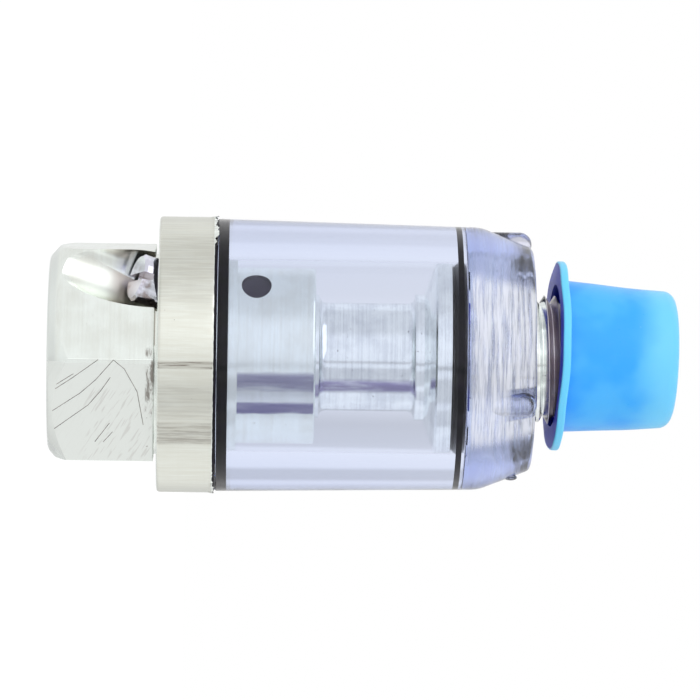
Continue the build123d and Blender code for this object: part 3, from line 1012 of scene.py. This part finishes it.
def turnStem():
    d = stemDetail
    start = stemLow.z / mm
    end = stemHigh.z / mm
    socketTop = start + d["jointLength"] + d["jointGap"]
    collarTop = socketTop + d["collarWidth"]
    bandBottom = socketTop - d["jointGap"] + d["span"]
    coneBottom = bandBottom - d["coneHeight"]
    footBottom = coneBottom - d["footWidth"]
    bandTop = bandBottom + d["bandWidth"]
    hubTop = bandTop + d["hubWidth"]
    threadStart = end - d["threadLength"]
    threadTop = threadStart - 2 * d["neckLength"]
    crest = d["outletThread"]["crestRadius"]
    endRadius = crest - d["threadLength"] * d["outletThread"]["taper"] / 2
    stem = drawOutline("threaded_stem", [
        (d["boreRadius"], start),
        (d["jointRadius"], start),
        (d["jointRadius"], socketTop),
        (d["collarRadius"], socketTop),
        (d["collarRadius"], collarTop),
        (d["stemRadius"], collarTop),
        (d["stemRadius"], footBottom),
        (d["footRadius"], footBottom),
        (d["footRadius"], coneBottom),
        (d["bandRadius"] - d["bandEdge"], bandBottom),
        (d["bandRadius"], bandBottom + d["bandEdge"]),
        (d["bandRadius"], bandTop - d["bandEdge"]),
        (d["bandRadius"] - d["bandEdge"], bandTop),
        (d["hubRadius"], bandTop),
        (d["hubRadius"], hubTop),
        (d["bowlThread"]["crestRadius"], hubTop),
        (d["bowlThread"]["crestRadius"], threadTop),
        (d["neckRadius"], threadTop + d["edge"]),
        (d["neckRadius"], threadStart),
        (crest, threadStart),
        (endRadius, end - d["edge"]),
        (endRadius - d["edge"], end),
        (d["boreRadius"], end),
    ])
    roundCorners(stem, [
        (d["stemRadius"], collarTop, d["stemRound"]),
        (d["stemRadius"], footBottom, d["stemRound"]),
        (d["collarRadius"], collarTop, d["collarRound"]),
        (d["boreRadius"], end, d["mouthRound"]),
    ])
    turnAboutAxis(stem, steps=144)
    combine(stem, threadTool(d["bowlThread"]))
    combine(stem, threadTool(d["outletThread"]))
    stem.data.materials.clear()
    smoothShade(stem)
    dressPiece(stem, stemLook, "head", "outlet_stem")
    print("stem turned,", len(stem.data.polygons), "faces")


turnStem()


# Cap: thin and soft, pushed on a little crooked, its rim and wall no longer quite round

capDetail = {
    "innerOpen": 9.4, "wall": 0.65, "rimRadius": 12.55, "rimWidth": 1.05, "rimEdge": 0.35, "rimRound": 0.25,
    "outerOpen": 10.05, "outerEnd": 9.0, "innerEnd": 8.35, "length": 15.9, "endRound": 1.5, "endRing": 4,
    "wallRows": 7, "stiffRadius": 6, "place": (-0.52, -0.38, 66.74), "lean": 1.5, "yaw": 2.6,
    "waviness": 0.07,
}


def mouldCap():
    d = capDetail
    length = d["length"]
    innerLength = length - d["wall"]
    outer = [(d["outerOpen"], d["rimWidth"])]
    inner = [(d["innerOpen"], 0)]
    for i in range(1, d["wallRows"]):
        share = i / d["wallRows"]
        outerHeight = d["rimWidth"] + share * (length - d["rimWidth"])
        outer.append((d["outerOpen"] + share * (d["outerEnd"] - d["outerOpen"]), outerHeight))
        inner.append((d["innerOpen"] + share * (d["innerEnd"] - d["innerOpen"]), share * innerLength))
    outline = [(d["innerOpen"] + 0.8, 0), (d["rimRadius"], 0), (d["rimRadius"], d["rimWidth"])] + outer
    outline += [(d["outerEnd"], length), (d["endRing"], length), (0, length)]
    outline += [(0, innerLength), (d["endRing"], innerLength), (d["innerEnd"], innerLength)] + inner[::-1]
    cap = drawOutline("soft_cap", outline)
    roundCorners(cap, [
        (d["rimRadius"], d["rimWidth"], d["rimEdge"]),
        (d["rimRadius"], 0, d["rimRound"]),
        (d["outerEnd"], length, d["endRound"]),
        (d["innerEnd"], innerLength, d["endRound"] - d["wall"]),
    ], 7)
    turnAboutAxis(cap, steps=144)
    for v in cap.data.vertices:
        place = atan2(v.co.x, v.co.y)
        height = v.co.z / mm
        radius = Vector(v.co[:2]).length / mm
        if radius < d["stiffRadius"]:
            continue
        wave = sin(3 * place + 0.4 * height) * 0.6 + sin(5 * place - 0.7 * height + 1) * 0.4
        v.co.x *= 1 + d["waviness"] * wave / radius
        v.co.y *= 1 + d["waviness"] * wave / radius
        if radius > d["outerOpen"] + 0.3 and height < 2:
            ripple = sin(4 * place + 1) * 0.1 + sin(9 * place) * 0.04
            v.co.z += ripple * mm * (radius - d["outerOpen"]) / (d["rimRadius"] - d["outerOpen"])
    turn = Matrix.Rotation(radians(-d["yaw"]), 4, "X") @ Matrix.Rotation(radians(d["lean"]), 4, "Y")
    cap.data.materials.append(capLook)
    cap.data.materials.append(capShadedInsideLook)
    # The inside and the underside of the rim get the painted shade
    for face in cap.data.polygons:
        height = face.center.z / mm
        radius = Vector(face.center[:2]).length / mm
        wallRadius = d["innerOpen"] - (d["innerOpen"] - d["innerEnd"]) * height / length + 0.25
        inside = height < innerLength + 0.1 and radius < wallRadius
        underRim = height < 0.15 and radius < d["rimRadius"] - 0.3
        if inside or underRim:
            face.material_index = 1
    moveTo(cap, Matrix.Translation(Vector(d["place"]) * mm) @ turn)
    smoothShade(cap, 30)
    dressPiece(cap, capLook, "cap", "outlet_cap")
    print("cap moulded,", len(cap.data.polygons), "faces")


mouldCap()


# The frame's own parts that keep their shape

def dressNodes():
    looks = {
        "venturi_insert": brassLook, "oil_wick": feltLook, "metering_screw_o_ring": rubberLook,
        "bowl_end_o_ring": rubberLook, "stem_o_ring": rubberLook,
    }
    for name, look in looks.items():
        node = frame["nodes"][name]
        node.data.materials.clear()
        node.data.materials.append(look)
        pickOnly(node)
        bpy.ops.object.shade_smooth_by_angle(angle=radians(30))
    print("frame's parts dressed")


dressNodes()


# Studio: white floor, white surroundings with soft darker bands, one broad lamp and the camera

studio = {
    "floorSize": 6, "floorGap": 0.02, "floorGrey": 0.9, "shadowShare": 0.14, "floorGlow": 1.08,
    "worldStrength": 1.03, "behindShare": 0.93, "lampPlace": (-0.6, -0.75, 0.75), "lampAim": (0, 0, 0.04),
    "lampSize": 1.4, "lampPower": 4.5,
    # Darker bands of the room: angle from the viewer towards +X, half width, softness, depth
    "darkBands": [
        (69, 8, 4, 0.2), (36, 11, 5, 0.28), (11, 1.5, 1.5, 0.4), (-80, 26, 16, 0.2), (157, 9, 10, 0.27),
        (-158, 9, 10, 0.1),
    ],
}


def roomLight(g, x, y):
    # How bright the room is in a direction across the bore: white with soft darker bands
    angle = g.maths("ARCTAN2", x, y * -1)
    light = g.step(g.maths("ABSOLUTE", angle), radians(90), radians(180), 1, studio["behindShare"])
    for middle, half, soft, depth in studio["darkBands"]:
        away = g.maths("ABSOLUTE", angle - radians(middle))
        light = light * g.step(away, radians(half), radians(half + soft), 1 - depth, 1)
    return light * studio["worldStrength"]


def layFloor():
    pickNone()
    bpy.ops.mesh.primitive_plane_add(size=studio["floorSize"], location=(0, 0, -studio["floorGap"] * mm))
    floor = bpy.context.object
    floor.name = "studio_floor"
    material = bpy.data.materials.new("paleFloor")
    material.use_nodes = True
    g = Graph(material.node_tree)
    material.node_tree.nodes.remove(material.node_tree.nodes["Principled BSDF"])
    matt = g.add("BsdfDiffuse", None, {"Color": (studio["floorGrey"],) * 3 + (1,)})
    x, y = [part * -1 for part in g.split(g.add("NewGeometry", output="Incoming"))[:2]]
    isCamera = g.add("LightPath", output="Is Camera Ray")
    isGlossy = g.add("LightPath", output="Is Glossy Ray")
    isThrough = g.add("LightPath", output="Is Transmission Ray")
    strength = isCamera * studio["floorGlow"] + (1 - isCamera) * roomLight(g, x, y)
    glow = g.add("Emission", None, {"Color": (1, 1, 1, 1), "Strength": strength})
    share = (isCamera + isGlossy + isThrough) * (1 - studio["shadowShare"])
    mixed = g.add("MixShader", None, {0: share, 1: matt, 2: glow})
    g.set(g.tree.nodes["Material Output"].inputs["Surface"], mixed)
    floor.data.materials.append(material)


def lightRoom():
    world = bpy.data.worlds.new("whiteRoom")
    bpy.context.scene.world = world
    world.use_nodes = True
    g = Graph(world.node_tree)
    x, y = g.split(g.add("TexCoord", output="Generated"))[:2]
    isCamera = g.add("LightPath", output="Is Camera Ray")
    strength = isCamera + (1 - isCamera) * roomLight(g, x, y)
    background = world.node_tree.nodes["Background"]
    g.set(background.inputs["Color"], (1, 1, 1, 1))
    g.set(background.inputs["Strength"], strength)


cameraView = {
    "distance": 716, "height": 22.45, "aimHeight": 39.83, "aimSide": -0.9, "lean": 0.84, "lens": 277.7,
    "nearest": 0.01,
}


def placeCamera():
    # The photograph's top is -X and its right is +Z, with the axis falling a little to the right
    v = cameraView
    position = Vector((v["aimSide"], -v["distance"], v["height"])) * mm
    aim = Vector((v["aimSide"], 0, v["aimHeight"])) * mm
    back = (position - aim).normalized()
    lean = radians(v["lean"])
    right = Vector((-sin(lean), 0, cos(lean)))
    right = (right - back * right.dot(back)).normalized()
    up = back.cross(right)
    turn = Matrix((right, up, back)).transposed().to_euler()
    bpy.ops.object.camera_add(location=position, rotation=turn)
    camera = bpy.context.object
    camera.data.lens = v["lens"]
    camera.data.clip_start = v["nearest"]
    bpy.context.scene.camera = camera


def hangLamp():
    place = Vector(studio["lampPlace"])
    bpy.ops.object.light_add(type="AREA", location=place)
    lamp = bpy.context.object
    lamp.name = "broad_lamp"
    lamp.data.shape = "SQUARE"
    lamp.data.size = studio["lampSize"]
    lamp.data.energy = studio["lampPower"]
    lamp.rotation_euler = (place - Vector(studio["lampAim"])).to_track_quat("Z", "Y").to_euler()


layFloor()
lightRoom()
hangLamp()
placeCamera()
bpy.context.scene.view_settings.view_transform = "Standard"
print("studio lit")
